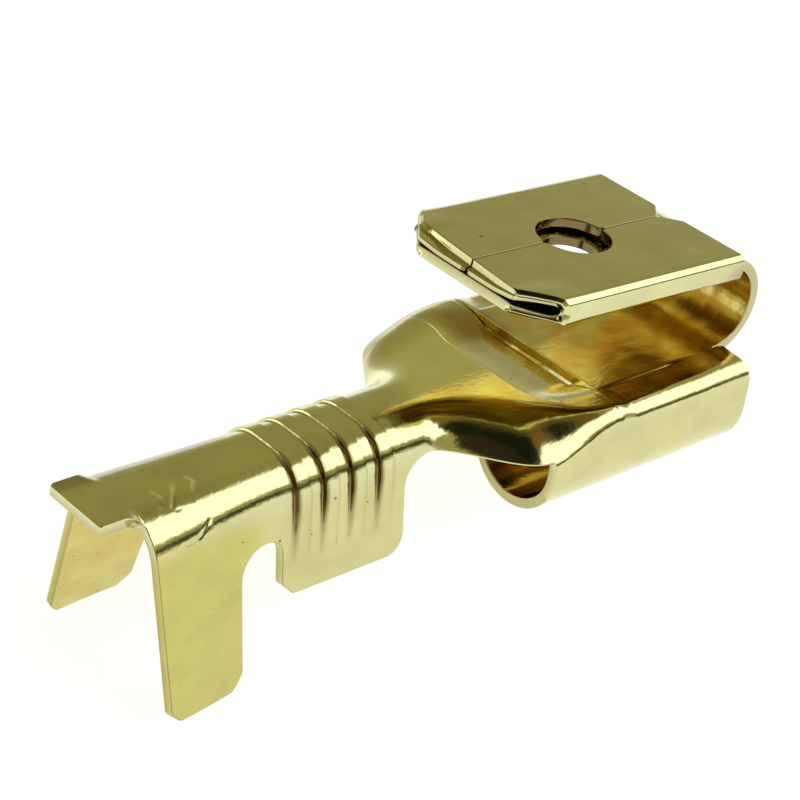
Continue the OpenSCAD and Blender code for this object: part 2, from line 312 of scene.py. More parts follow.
# %% Ribs
rib_count = 4
rib_pitch = 0.95
rib_width = 0.5
rib_height = 0.17
rib_crown = 0.5
rib_rise = (0.4, 1.3)
rib_slope = 0.035
rib_first = -15.02
rib_depth = 2.9
rib_fade = 1.75


def rib_place(u, v):
    """Distance along u from the middle of the nearest rib, and that rib's share of its height.

    The share is full on the near bend only, and it falls evenly to nothing down the wings."""
    nearest = np.clip(np.round((u - rib_first) / rib_pitch), 0, rib_count - 1)
    end_v = width_at_depth(np.full_like(u, rib_first), rib_depth)
    taper = np.clip((end_v - np.abs(v)) / rib_fade, 0, 1)
    rise = rib_crown + (1 - rib_crown) * ease(-v, *rib_rise)
    return u - rib_first - nearest * rib_pitch, taper * rise


def ribs(u, v):
    """Flat-topped waves along u, with steep sides."""
    off, share = rib_place(u, v)
    half_width = rib_width / 2
    flat_top = 1 - ease(np.abs(off), half_width - rib_slope, half_width + rib_slope)
    return rib_height * share * flat_top


print(rib_count, "ribs stand", rib_pitch, "mm apart and up to", rib_height, "mm high")

# %% [markdown]
# ## Blade stop
#
# A stop for the mating blade is cut along its front edge and pushed down out of the base. A faint
# crease carries on from that cut over both folds. In front of the stop, a narrow strip along the
# foot of each fold tilts outwards below a small step, where the folding die pressed on the base.

# %% Blade stop, crease and tilted strips
stop_front = -5.3
stop_rear = -7.28
stop_depth = 0.35
stop_step = 0.1
stop_edge = 0.12
stop_far = (1.45, 3.15)
stop_near = (1.35, 2.75)
stop_corner = 0.9

crease_u = -5.42
crease_width = 0.06
crease_depth = 0.012
crease_span = (2.4, 2.8, 3.3, 3.8)

facet_v = 2.5
facet_width = 0.7
facet_slope = 0.09
facet_step = 0.03
facet_edge = 0.045
facet_start = (stop_front - 0.1, stop_front + 0.6)
facet_fade = (-2.4, -1.2)
facet_outer = (3.3, 4.2)


def blade_stop(u, v):
    """A small step along its rear edge, then a slope down to the cut in front.

    Towards both ends it runs out in ramps, the far one longer. The near rear corner is round."""
    near_share = np.clip((-v - stop_near[0]) / (stop_near[1] - stop_near[0]), 0, 1)
    past_rear = u - stop_rear - stop_corner * near_share ** 2
    slope = stop_step * ease(past_rear, 0, stop_edge)
    slope = slope + (stop_depth - stop_step) * np.clip(past_rear / (stop_front - stop_rear), 0, 1)
    ramp = 1 - np.where(v > 0, ease(v, *stop_far), ease(-v, *stop_near))
    return np.where(u < stop_front, -slope * ramp, 0.0)


def crease(u, v):
    """A shallow groove across the base and the folds, on both sides of the stop."""
    groove = bell(u - crease_u, crease_width)
    return -crease_depth * groove * between(np.abs(v), *crease_span)


def facet(u, v):
    """A flat strip, tilted outwards, along the foot of each fold in front of the stop.

    A small step down to it runs out towards the mouth."""
    past_edge = np.abs(v) - facet_v
    step = facet_step * np.clip(past_edge / facet_edge, 0, 1) * (1 - ease(u, *facet_fade))
    dip = step + facet_slope * np.clip(past_edge, 0, facet_width)
    dip = dip * ease(u, *facet_start) * (1 - ease(np.abs(v), *facet_outer))
    return np.where(u < bend_end / 2, -dip, 0.0)


print("The stop is", stop_depth, "mm deep, and the strips begin", facet_v, "mm from the middle")

# %% [markdown]
# ## Signs of handling
#
# This piece isn't quite straight any more. The far shoulder of its neck is bent up, its far long
# wing is twisted outwards, and a tool has left a gouge and three small nicks on the insulation
# barrel. A row of short strokes, each from one point of the blank to the next, draws these marks.

# %% Bent and marked places
splay_u = -7.5
splay_length = 1.5
splay_height = 0.28
splay_span = (1.4, 3.0, 3.3, 4.3)

far_lean = 0.015
far_twist = 0.165
far_foot = 2.2
far_fade = (grip_front + 0.1, grip_front + 0.9)

tool_marks = [
    ((-19.27, -0.99), (-18.40, -1.24)),
    ((-18.40, -1.24), (-18.10, -1.60)),
    ((-18.10, -1.60), (-18.50, -1.90)),
    ((-18.50, -1.90), (-19.06, -1.99)),
    ((-19.17, -0.47), (-19.03, -0.70)),
    ((-18.54, -0.46), (-18.91, -0.97)),
    ((-18.02, -0.33), (-17.93, -0.50)),
    ((-17.93, -0.50), (-18.12, -0.74)),
]
mark_width = 0.055
mark_depth = 0.008


def splay(u, v):
    """The far shoulder of the neck was bent up a little: a bell along u on a slope across it."""
    return splay_height * bell(u - splay_u, splay_length) * between(v, *splay_span)


def lean_out(u, v):
    """The far long wing leans out, mostly at its front: a slope from the foot of its bend on."""
    twist = far_twist * np.clip((u - grip_rear) / (grip_front - grip_rear), 0, 1)
    slope = (far_lean + twist) * (1 - ease(u, *far_fade))
    return slope * np.maximum(v - far_foot, 0)


def from_line(u, v, start, end):
    """Offset along u and across v from the nearest point of the straight line start to end."""
    along = np.subtract(end, start)
    share = ((u - start[0]) * along[0] + (v - start[1]) * along[1]) / (along @ along)
    share = np.clip(share, 0, 1)
    return u - start[0] - share * along[0], v - start[1] - share * along[1]


def marks(u, v):
    """Depth of all strokes together, in shares of one: grooves with a bell-shaped section."""
    offsets = [np.hypot(*from_line(u, v, start, end)) for start, end in tool_marks]
    return sum(bell(offset, mark_width) for offset in offsets)


print("The shoulder is bent up by", splay_height, "mm;", len(tool_marks), "strokes draw the marks")

# %% [markdown]
# ## Free end of the tab
#
# The upper layer of the tab ends in a ledge that runs slightly askew. Its two flaps are pressed
# shut in the middle and spring open a little towards the cut corners, as the sheet does when a die
# lets go of it. With these the list is complete, and one function adds everything up.

# %% Tab end, and all heights together
tip_length = 1.02
tip_half = 1.9
tip_spread = 0.03
tip_shut = 0.07
open_length = (2.0, 0.7)
open_across = (1.6, 2.3)
shut_across = (1.0, 2.0)
ledge_length = 0.24
ledge_skew = 0.09
ledge_rise = 0.035


def tab_across(v):
    """Distance from the tab's middle line, for a point on its lower or its upper layer."""
    return np.minimum(np.abs(v), 2 * tab_flat + tab_fold - np.abs(v))


def ledge_share(v):
    """Length of the ledge at v over its length in the middle: it runs slightly askew."""
    askew = ledge_skew * np.sign(v) * np.clip(tab_across(v), 0, tip_half)
    return 1 + askew / ledge_length


def on_ledge(u, v):
    """1 on the ledge at the end of the tab's upper layer, 0 behind the short rise up from it."""
    to_end = (tab_end - u) / ledge_share(v)
    return (np.abs(v) > fold_v) * np.clip(1 - (to_end - ledge_length) / ledge_rise, 0, 1)


def spread(u, v):
    """The tab's folds spring open near the cut corners. Between these its flaps are shut."""
    near_end = ease(u, tab_end - open_length[0], tab_end - open_length[1])
    opened = tip_spread * near_end * ease(tab_across(v), *open_across)
    return opened - tip_shut * on_ledge(u, v) * (1 - ease(tab_across(v), *shut_across))


def pressed(u, v):
    """Height of everything stamped into the sheet, along its outer normal."""
    stamped = ribs(u, v) + blade_stop(u, v) + crease(u, v) - mark_depth * marks(u, v)
    return stamped + splay(u, v) + facet(u, v) + lean_out(u, v) + spread(u, v)


print("The tab's ledge is", ledge_length, "mm long and its cut corners", tip_length, "mm")

# %% [markdown]
# ## The two faces
#
# The outer face lies half a sheet above the middle surface and the inner face half a sheet below.
# Two places differ. The tab's folds were squeezed in a die, so their outside is a flat side with a
# chamfer above it. The tab's free end was coined, with a step across its upper layer and a bevel
# along its cut corners, so that a socket slides on easily.

# %% Outer and inner face
ledge_depth = 0.17
tip_bevel = 0.13
fold_chamfer = 0.395
fold_corner = 0.465
fold_hollow = 0.06
hollow_span = (0.4, 1.3)
soft_corner = 0.03
least_share = 0.2
tab_join = (bend_end - 0.1, bend_end + 0.1)


def soft_least(first, second):
    """The smaller of two values, with a rounded change between them: half of their sum less the
    root of their squared difference plus a small square."""
    return (first + second - np.sqrt((first - second) ** 2 + soft_corner ** 2)) / 2


def coined(u, v):
    """Depth that the coining took off the outer face at the tab's free end.

    On the upper layer it is a step down to a ledge. Along the cut corners it is a bevel, as deep
    as a point lies closer than the bevel's width to the cut."""
    step = ledge_depth * on_ledge(u, v)
    tip_width = tab_half - tip_half
    inside = (tab_end - u) * tip_width + (tip_half - tab_across(v)) * tip_length
    inside = inside / np.hypot(tip_width, tip_length)
    return np.maximum(step, np.clip(tip_bevel - inside, 0, tip_bevel))


def outer_lift(u, v):
    """Distance of the outer face from the middle surface.

    Round the tab's fold it is the distance to the nearest of the die's planes, measured along the
    fold's own spoke: the tab's face, its side, and the slanted plane across the corner."""
    turn = np.clip((np.abs(v) - tab_flat) / tab_fold_mid, 0, np.pi)
    face = tab_height / 2 / np.maximum(np.abs(np.cos(turn)), least_share)
    side = tab_height / 2 / np.maximum(np.sin(turn), least_share)
    lower = fold_corner / np.maximum(np.cos(turn - 0.25 * np.pi), least_share)
    upper = fold_chamfer / np.maximum(np.cos(turn - 0.75 * np.pi), least_share)
    corner = np.where(turn < np.pi / 2, lower, upper)
    squeezed = soft_least(soft_least(face, side), corner) - tab_fold_mid
    return half_sheet + (squeezed - half_sheet) * ease(u, *tab_join) - coined(u, v)


def inner_lift(u, v):
    """Distance of the inner face from the middle surface, which is below it. The fold is hollow."""
    near_fold = 1 - ease(np.abs(np.abs(v) - fold_v), *hollow_span)
    return fold_hollow * near_fold * ease(u, *tab_join) - half_sheet


def face_point(u, v, share):
    """Point of the sheet a share of the way from its inner face, 0, to its outer face, 1."""
    inner = inner_lift(u, v)
    lift = inner + share * (outer_lift(u, v) - inner)
    return folded(u, v) + (pressed(u, v) + lift)[..., None] * surface_normal(folded, u, v)


def face_normal(u, v, share):
    """Normal of the surface that lies at that share of the sheet's thickness."""
    return surface_normal(lambda a, b: face_point(a, b, share), u, v, 1e-3)


print("The ledge is coined", ledge_depth, "mm deep, and the bevel is", tip_bevel, "mm wide")

# %% [markdown]
# ## The outline of the blank
#
# The blank's outline is a short list of corners, each with a radius, from the tail round to the
# tab's end. One half is enough, because the strip is symmetric. The edge of the neck's flange is
# the only curve: it is where the fold reaches the flange's depth.

# %% Outline
grip_depth_front = 5.72
grip_depth_rear = 5.59
wire_depth = 3.7
gap_depth = 1.85
wing_cut = 0.4
wing_heel = 0.28
wing_slant = 0.22
seam_cut = 0.55
hole_r = 0.8
flap_hole_r = 1.1
hole_u = tab_start + 4.05
slit_half = 0.012
flange_rear = neck_rear + 0.2
flange_points = 40
below = -5.0


def at_depth(u, depth):
    """The same as width_at_depth, for one place and as a plain number."""
    return float(width_at_depth(np.array(u), np.array(depth)))


def chamfered(u, v, before, after, size, radius):
    """The two ends of a cut corner: size from the corner (u, v) towards each neighbour."""
    corner = np.array([u, v])
    towards = [unit(np.subtract(point, corner)) for point in (before, after)]
    return [(*(corner + size * way), radius) for way in towards]


flange_u = np.linspace(flange_rear, curl_rear, flange_points)
flange_v = width_at_depth(flange_u, np.full_like(flange_u, flange_depth))
wing_tip_u = grip_rear + wing_slant
grip_rear_v = at_depth(wing_tip_u, grip_depth_rear)
grip_front_v = at_depth(grip_front, grip_depth_front)
wire_rear_v = at_depth(wire_rear, wire_depth)
wire_front_v = at_depth(wire_front, wire_depth)
gap_v = at_depth(grip_front, gap_depth)
flap_tip_v = 2 * tab_flat + tab_fold - tip_half

outline = [(tail_x, below, 0), (tail_x, tail_half, 0.12), (grip_rear, tail_half, 0.2)]
grip_tip = (grip_front, grip_front_v)
outline += chamfered(wing_tip_u, grip_rear_v, (grip_rear, tail_half), grip_tip, wing_heel, 0.15)
outline += chamfered(*grip_tip, (grip_rear, grip_rear_v), (grip_front, 0), wing_cut, 0.15)
outline += [(grip_front, gap_v, 0.9), (wire_rear, gap_v, 0.5)]
wire_tip = (wire_front, wire_front_v)
outline += chamfered(wire_rear, wire_rear_v, (wire_rear, 0), wire_tip, wing_cut, 0.12)
outline += [(*wire_tip, 0.6), (wire_front, flange_v[0], 0.85)]
outline += [(u, v, 0) for u, v in zip(flange_u[:-1], flange_v[:-1])]
outline += [(curl_rear, flange_v[-1], 0.06), (curl_rear, curl_end_v, 0.15), (0, curl_end_v, 0.4)]
outline += [(0, bridge_half + bridge_relief, 0.08), (bend_start, bridge_half + bridge_relief, 0.02)]
outline += [(bend_start, bridge_half, 0.02), (tab_start, bridge_half, 0.18)]
outline += [(tab_start, seam_v - seam_cut, 0.1), (tab_start + seam_cut, seam_v, 0.1)]
outline += [(tab_end, seam_v, 0.15), (tab_end, flap_tip_v, 0.1)]
outline += [(tab_end - tip_length, fold_v, 0.25), (tab_end, tip_half, 0.1), (tab_end, below, 0)]


def round_corners(corners, steps=7):
    """Replace each corner by an arc that touches both of its sides.

    With h for half the angle between the sides, the arc's centre lies r / sin(h) from the corner
    along their bisector and the arc starts r / tan(h) from it. Arc points are equal turns apart."""
    table = np.array(corners, float)
    point, radius = table[:, :2], table[:, 2:]
    to_last = unit(np.roll(point, 1, 0) - point)
    to_next = unit(np.roll(point, -1, 0) - point)
    half = np.arccos(np.clip((to_last * to_next).sum(1, keepdims=True), -1, 1)) / 2
    bisector = unit(to_last + to_next + 1e-9)
    centre = point + bisector * radius / np.sin(half)
    fan = np.linspace(-1, 1, steps)[None, :, None] * (np.pi / 2 - half)[:, None]
    turn_side = np.sign(np.cross(to_next, to_last))[:, None, None]
    outward = -bisector[:, None]
    sideways = np.stack([-outward[..., 1], outward[..., 0]], -1) * turn_side
    arc = centre[:, None] + radius[:, None] * (np.cos(fan) * outward + np.sin(fan) * sideways)
    return arc.reshape(-1, 2)


blank = round_corners(outline)
blank = blank[np.linalg.norm(blank - np.roll(blank, 1, 0), axis=1) > 1e-6]
print("The half outline has", len(outline), "corners and", len(blank), "points with its arcs")

# %% [markdown]
# ## Distance to the outline
#
# To cut the grid along the outline, each point needs its signed distance to it: negative inside
# the blank. The hole in the tab and the slit along the stop are cut out in the same way.

# %% Signed distance
def distance_to_outline(u, v, points):
    """Shortest distance to any edge, with its sign from the number of edges to one side."""
    best = np.full(u.shape, 1e9)
    inside = np.zeros(u.shape, bool)
    for (u0, v0), (u1, v1) in zip(points, np.roll(points, -1, 0)):
        off_u, off_v = from_line(u, v, (u0, v0), (u1, v1))
        best = np.minimum(best, off_u ** 2 + off_v ** 2)
        if v0 != v1:
            crosses = (v0 > v) != (v1 > v)
            inside ^= crosses & (u < u0 + (v - v0) * (u1 - u0) / (v1 - v0))
    return np.where(inside, -1, 1) * np.sqrt(best)


def blank_distance(u, v):
    """Signed distance to the blank's edge, with the tab's holes and the stop's slit taken out."""
    reach = np.abs(v)
    edge = distance_to_outline(u, reach, blank)
    lower_hole = hole_r - np.hypot(u - hole_u, v)
    upper_hole = flap_hole_r - np.hypot(u - hole_u, reach - seam_v - seam_half)
    slit_u = np.abs(u - stop_front) - slit_half
    slit_across = np.maximum(v - stop_far[1], -stop_near[1] - v)
    slit = np.hypot(np.maximum(slit_u, 0), np.maximum(slit_across, 0))
    slit = slit + np.minimum(np.maximum(slit_u, slit_across), 0)
    return np.maximum.reduce([edge, lower_hole, upper_hole, -slit])


def distance_slope(u, v, step=1e-4):
    """Unit direction in which the distance grows, which is straight out of the blank's edge."""
    return unit(np.stack(changes(blank_distance, u, v, step), -1) + 1e-12)


print("The tab's hole is", 2 * hole_r, "mm wide below and", 2 * flap_hole_r, "mm in the flaps")

# %% [markdown]
# ## Cutting the grid
#
# A grid of lines covers the blank. Points that lie near the edge are moved onto it, cells inside
# stay whole, and cells across the edge are cut along it. The cut follows the outline a little
# inside, which leaves room for the rounded rim.

# %% Cutting along the edge
snap_share = 0.35
skew_fade = (0.35, 2.4)
corner_fade = (0.4, 4.8)


def graded(start, *stretches):
    """Levels from start through stretches of (end, step), evenly spread within each stretch."""
    levels = [np.array([start])]
    for end, step in stretches:
        count = int(np.ceil((end - levels[-1][-1]) / step))
        levels.append(np.linspace(levels[-1][-1], end, count + 1)[1:])
    return np.concatenate(levels)


def follow_tip(u, v):
    """Grid columns near the tab's free end, moved to run along its step and its cut corners."""
    to_end = tab_end - u
    cut_back = tip_length * np.clip((tab_across(v) - tip_half) / (tab_half - tip_half), 0, 1)
    moved = to_end * (1 + (ledge_share(v) - 1) * (1 - ease(to_end, *skew_fade)))
    moved = moved + cut_back * (1 - ease(to_end, *corner_fade))
    return tab_end - moved


def cut_grid(u_levels, v_levels):
    """Points of a grid inside the blank, as u and v, and its four- and three-cornered cells.

    A cell that the edge crosses is split into two triangles. Each of these is cut where the
    distance, taken to change evenly along its sides, is 0."""
    u, v = np.meshgrid(u_levels, v_levels, indexing="ij")
    u = follow_tip(u, v)
    distance = blank_distance(u, v) + edge_round
    spacing = np.minimum(np.gradient(u, axis=0), np.gradient(v, axis=1))
    near = np.abs(distance) < snap_share * spacing
    out = distance_slope(u[near], v[near])
    u[near] -= distance[near] * out[:, 0]
    v[near] -= distance[near] * out[:, 1]
    gap = np.where(near, 0.0, distance).ravel()
    index = np.arange(u.size).reshape(u.shape)
    cells = np.stack([index[:-1, :-1], index[1:, :-1], index[1:, 1:], index[:-1, 1:]], -1)
    cells = cells.reshape(-1, 4)
    kept = (gap[cells] <= 0).sum(1)
    whole = cells[kept == 4]
    crossed = cells[(kept > 0) & (kept < 4)]
    corners = np.concatenate([crossed[:, [0, 1, 2]], crossed[:, [0, 2, 3]]])
    inside = gap[corners] <= 0
    count = inside.sum(1)
    three = corners[count == 3]
    first_out = np.argmin(inside[count == 2], 1)
    two = np.take_along_axis(corners[count == 2], (first_out[:, None] + np.arange(3)) % 3, 1)
    first_in = np.argmax(inside[count == 1], 1)
    one = np.take_along_axis(corners[count == 1], (first_in[:, None] + np.arange(3)) % 3, 1)
    pairs = np.concatenate([two[:, [2, 0]], two[:, [1, 0]], one[:, [0, 1]], one[:, [0, 2]]])
    edges, place = np.unique(pairs, axis=0, return_inverse=True)
    start, end = edges.T
    share = gap[start] / (gap[start] - gap[end])
    cut_u = u.ravel()[start] * (1 - share) + u.ravel()[end] * share
    cut_v = v.ravel()[start] * (1 - share) + v.ravel()[end] * share
    number = np.where(gap[start] == 0, start, u.size + np.arange(len(edges)))[place.ravel()]
    cut_c, cut_b, one_b, one_c = np.split(number, np.cumsum([len(two), len(two), len(one)]))
    b, c = two[:, 1], two[:, 2]
    three = np.concatenate([three, np.stack([b, c, cut_c], 1), np.stack([b, cut_c, cut_b], 1),
                            np.stack([one[:, 0], one_b, one_c], 1)])
    three = three[(three != np.roll(three, -1, 1)).all(1)]
    corners = np.concatenate([whole.ravel(), three.ravel()])
    used, renumbered = np.unique(corners, return_inverse=True)
    whole = renumbered[: whole.size].reshape(-1, 4)
    three = renumbered[-three.size:].reshape(-1, 3)
    all_u = np.concatenate([u.ravel(), cut_u])
    all_v = np.concatenate([v.ravel(), cut_v])
    return all_u[used], all_v[used], whole, three


print("Points closer to the edge than", snap_share, "of a step are moved onto it")

# %% [markdown]
# ## Lines of the grid
#
# The lines are closest where reflections would betray a coarse grid: at the tool marks, the sides
# of the ribs, the stop, the folds and the ledge of the tab. Wider steps elsewhere keep it light.

# %% Grid lines
coarse = 0.15
fine = 0.065
tail_step = 0.1
rib_step = 0.11
snug = 0.008
marks_rear = -19.4
marks_front = -17.8
stop_margin = 0.3
tip_zone = 1.2
base_flat_v = 2.2
fold_end_v = 4.2
ledge_foot = tab_end - ledge_length
ledge_top = ledge_foot - ledge_rise
rib_stretches = []
for number in range(rib_count):
    for side in (-1, 1):
        rib_edge = rib_first + number * rib_pitch + side * rib_width / 2
        rib_stretches += [(rib_edge - rib_slope, rib_step), (rib_edge + rib_slope, rib_slope)]
u_levels = graded(
    tail_x - fine, (marks_rear, tail_step), (marks_front, fine), (rib_first - rib_width, coarse),
    *rib_stretches, (stop_rear - stop_margin, coarse), (stop_front, fine),
    (stop_front + stop_margin, fine), (tab_end - tip_zone, coarse), (ledge_top - snug, fine),
    (ledge_top + snug, 2 * snug), (ledge_foot - snug, fine / 2), (ledge_foot + snug, 2 * snug),
    (tab_end + fine, fine / 2))
facet_stretches = [(facet_v, fine), (facet_v + facet_edge, facet_edge), (fold_end_v, fine)]
far_levels = graded(0.0, (base_flat_v, coarse), *facet_stretches, (curl_end_v + fine, coarse))
near_levels = graded(0.0, *facet_stretches, (curl_end_v + fine, coarse))
v_levels = np.concatenate([-near_levels[:0:-1], far_levels])
blank_u, blank_v, whole_cells, cut_cells = cut_grid(u_levels, v_levels)
print("The blank has", len(whole_cells), "whole cells and", len(cut_cells), "cut ones")

# %% [markdown]
# ## From blank to solid sheet
#
# Every cell is used twice, on the outer and on the inner face. Where a cell's edge has no
# neighbour, it lies on the rim, and a few rings of points carry the surface round from one face
# to the other. The shading normals come from the formulas too, so that reflections stay clean.

# %% Faces and rim
def rim_edges(cells):
    """Directed edges of cells whose opposite is in no other cell."""
    ahead = np.concatenate([np.stack([c, np.roll(c, -1, 1)], -1).reshape(-1, 2) for c in cells])
    size = ahead.max() + 1
    return ahead[~np.isin(ahead[:, 0] * size + ahead[:, 1], ahead[:, 1] * size + ahead[:, 0])]


edge_pairs = rim_edges([whole_cells, cut_cells])
rim_points, rim_numbers = np.unique(edge_pairs, return_inverse=True)
rim_numbers = rim_numbers.reshape(-1, 2)
rim_out = distance_slope(blank_u[rim_points], blank_v[rim_points])
round_share = edge_round / sheet
half_way = 1 - np.sqrt(0.5)
rim_step = 1e-3
rim_rings = [
    (np.sqrt(0.5), 1 - half_way * round_share, np.pi / 4),
    (1.0, 1 - round_share, np.pi / 2),
    (1.0, round_share, np.pi / 2),
    (np.sqrt(0.5), half_way * round_share, 0.75 * np.pi),
]

count = len(blank_u)
points = [face_point(blank_u, blank_v, 1.0), face_point(blank_u, blank_v, 0.0)]
normals = [face_normal(blank_u, blank_v, 1.0), -face_normal(blank_u, blank_v, 0.0)]
flat_map = [np.stack([blank_u, blank_v], -1)] * 2
for out_share, thick_share, angle in rim_rings:
    ring_u = blank_u[rim_points] + edge_round * out_share * rim_out[:, 0]
    ring_v = blank_v[rim_points] + edge_round * out_share * rim_out[:, 1]
    ring = face_point(ring_u, ring_v, thick_share)
    past_u = ring_u + rim_step * rim_out[:, 0]
    past_v = ring_v + rim_step * rim_out[:, 1]
    past_ring = face_point(past_u, past_v, thick_share)
    upward = face_normal(ring_u, ring_v, thick_share)
    points.append(ring)
    normals.append(unit(np.cos(angle) * upward + np.sin(angle) * unit(past_ring - ring)))
    flat_map.append(np.stack([ring_u, ring_v], -1))

ring_points = 2 * count + np.arange(len(rim_rings) * len(rim_points))
ring_numbers = [rim_points, *np.split(ring_points, len(rim_rings)), count + rim_points]
edge_from, edge_to = rim_numbers.T
rim_cells = np.concatenate([
    np.stack([upper[edge_to], upper[edge_from], lower[edge_from], lower[edge_to]], 1)
    for upper, lower in zip(ring_numbers[:-1], ring_numbers[1:])])
quads = np.concatenate([whole_cells, whole_cells[:, ::-1] + count, rim_cells])
triangles = np.concatenate([cut_cells, cut_cells[:, ::-1] + count])
triangle_count = 2 * len(quads) + len(triangles)
print("The rim has", len(edge_pairs), "edges; the sheet has", triangle_count, "triangles")

# %% [markdown]
# ## Laying it down
#
# Nothing holds the terminal up, so it lies as it comes to rest: on the tips of its long wings and
# on the front edges of its two curls. That pitches the base by the angle whose tangent is the
# wings' extra depth over their distance from the mouth.

# %% The terminal at rest
rest_tip = -17.65
rest_depth = 5.75
rest_pitch = np.arctan2(rest_depth - socket_depth, -rest_tip)
rest_turn = np.array(Matrix.Rotation(rest_pitch, 3, "Y"))
rest_front = bend_start * np.cos(rest_pitch) + bend_inner * np.sin(rest_pitch) + bend_inner + sheet
rest_back = tail_x * np.cos(rest_pitch) - sheet * np.sin(rest_pitch)
rest_shift = np.array([-(rest_front + rest_back) / 2, 0, socket_depth * np.cos(rest_pitch)])
mm = 0.001

places = (np.concatenate(points) @ rest_turn.T + rest_shift) * mm
mesh = bpy.data.meshes.new("terminal_sheet")
mesh.from_pydata(places, [], quads.tolist() + triangles.tolist())
mesh.polygons.foreach_set("use_smooth", np.ones(len(mesh.polygons), bool))
corner_points = np.empty(len(mesh.loops), np.int32)
mesh.loops.foreach_get("vertex_index", corner_points)
flat_uv = mesh.uv_layers.new(name="flat_blank")
flat_uv.data.foreach_set("uv", np.concatenate(flat_map)[corner_points].astype(np.float32).ravel())
mesh.normals_split_custom_set_from_vertices(np.concatenate(normals) @ rest_turn.T)
terminal = bpy.data.objects.new("terminal_sheet", mesh)
bpy.context.scene.collection.objects.link(terminal)
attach(terminal, "root")
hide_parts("terminal")
print("The terminal's box in mm:", np.round(places.min(0) / mm, 2), np.round(places.max(0) / mm, 2))

# %% [markdown]
# ## Hollows
#
# Inside the socket, below the tab and between its layers, light arrives by way of other brass only,
# so the metal there looks deep amber. That amber is a painted reflection, put into the brass's
# colour; the inside of the barrels gets a little of it, and so do the stop's cut and its long far
# ramp, as painted shade. A point's place on the blank, and the face it is on, tell how deep in such
# a hollow it lies: share 1 is the outer face, 0 the inner one, and the cut rim lies between them.

# %% Hollows
below_tab_u = (-5.8, -3.4)
below_tab_v = (3.0, 3.45)
ramp_u = (-7.4, -6.0, stop_front, stop_front + 0.5)
ramp_v = (0.4, 2.2, 2.5, 3.4)
ramp_shade = 0.8
socket_u = (-9.5, -7.6)
barrel_share = 0.3
cut_margin = 0.1


def far_ramp(u, v):
    """Painted shade on the long far ramp of the stop, which ends at the stop's cut."""
    return ramp_shade * between(u, *ramp_u) * between(v, *ramp_v)


def hollow(u, v, share):
    """How deep in a hollow each point lies, from 0 in the open to 1, for the painted amber
    reflection.
    """
    reach = np.abs(v)
    if share == 1.0:
        below_tab = ease(u, *below_tab_u) * (1 - ease(reach, *below_tab_v))
        tab_bottom = 1 - ease(reach, tab_flat, fold_v - 0.08)
        return np.where(past_bend(u, v), tab_bottom, np.maximum(below_tab, far_ramp(u, v)))
    if share == 0.0:
        between_layers = (u > bend_end) & (np.hypot(u - hole_u, v) > flap_hole_r)
        in_socket = np.maximum(ease(u, *socket_u), barrel_share)
        return np.where(past_bend(u, v), between_layers, in_socket)
    in_cut = (np.abs(u - stop_front) < cut_margin) & (reach < stop_far[1] + cut_margin)
    return np.where(in_cut, 1.0, 0.0)


deep_points = hollow(blank_u, blank_v, 1.0) > 0.5
print("On the outer face,", round(100 * deep_points.mean()), "% of the points lie in a hollow")

# %% [markdown]
# ## Painted shade and darker places
#
# The brass is made darker, towards one dark brown, in many places. Along the feet of the ribs, on
# the stop's long far ramp, in the holes and the seam, on the base under the tab, inside the bend
# and inside the curls this is painted shade. Along the bends of the far side, and along the burr
# side of the cut rim on the barrels, the brass is only made darker. A cut edge is dull where the
# punch broke through.

# %% Painted shade and darker places
rear_foot = 0.06
front_foot = 0.05
front_shade = 0.4
rib_shade_v = (0.4, 0.9)
ramp_shade_share = 0.7
hole_shade = 0.85
seam_shade = 0.75
base_shade = 0.12
bend_shade = 0.38
under_tab_shade_u = (-3.0, -1.5)
under_tab_shade_v = (2.9, 3.3)
bend_in = (bend_start, bend_start + 1.2)
bend_out = (bend_end, bend_end + 1.5)
far_bend_dark = 0.42
barrel_side = (0.5, 0.8, 2.4, 3.0)
neck_side = (2.9, 3.4, 4.0, 4.6)
neck_side_front = (-6.2, -5.2)
torn_film = 0.3
burr_dark = 0.6
burr_v = (1.3, 1.8)
curl_painted_shade = 0.35
curl_shade_v = (4.2, 5.2)
curl_edge = 0.2
curl_edge_v = 5


def rib_painted_shade(u, v):
    """Painted shade along the rear foot of each rib, and a fainter one along its front foot."""
    off, share = rib_place(u, v)
    rear = bell(off + rib_width / 2, rear_foot)
    front = front_shade * bell(off - rib_width / 2, front_foot)
    return (rear + front) * share * ease(-v, *rib_shade_v)


def wall_painted_shade(u, v):
    """Painted shade on the walls of the tab's two holes, and on its seam in a lesser degree."""
    reach = np.abs(v)
    from_hole = np.hypot(u - hole_u, np.where(reach > fold_v, reach - seam_v - seam_half, reach))
    in_hole = from_hole < np.where(reach > fold_v, flap_hole_r, hole_r) + 2 * edge_round
    in_seam = (reach > seam_v - 2 * edge_round) & (u > tab_start)
    return np.where(in_hole, hole_shade, np.where(in_seam, seam_shade, 0.0))


def under_tab_painted_shade(u, v):
    """Painted shade on the base under the tab and, more of it, inside the bend."""
    amount = base_shade * ease(u, *under_tab_shade_u) + bend_shade * ease(u, *bend_in)
    return amount * (1 - ease(u, *bend_out)) * (1 - ease(np.abs(v), *under_tab_shade_v))


def far_bend_darkening(u, v):
    """Darker brass along the outer bends of the far side."""
    on_barrels = between(v, *barrel_side) * (1 - ease(u, wire_rear - 0.5, wire_rear))
    on_neck = between(v, *neck_side) * between(u, neck_rear, neck_rear + 1, *neck_side_front)
    return far_bend_dark * np.maximum(on_barrels, on_neck)


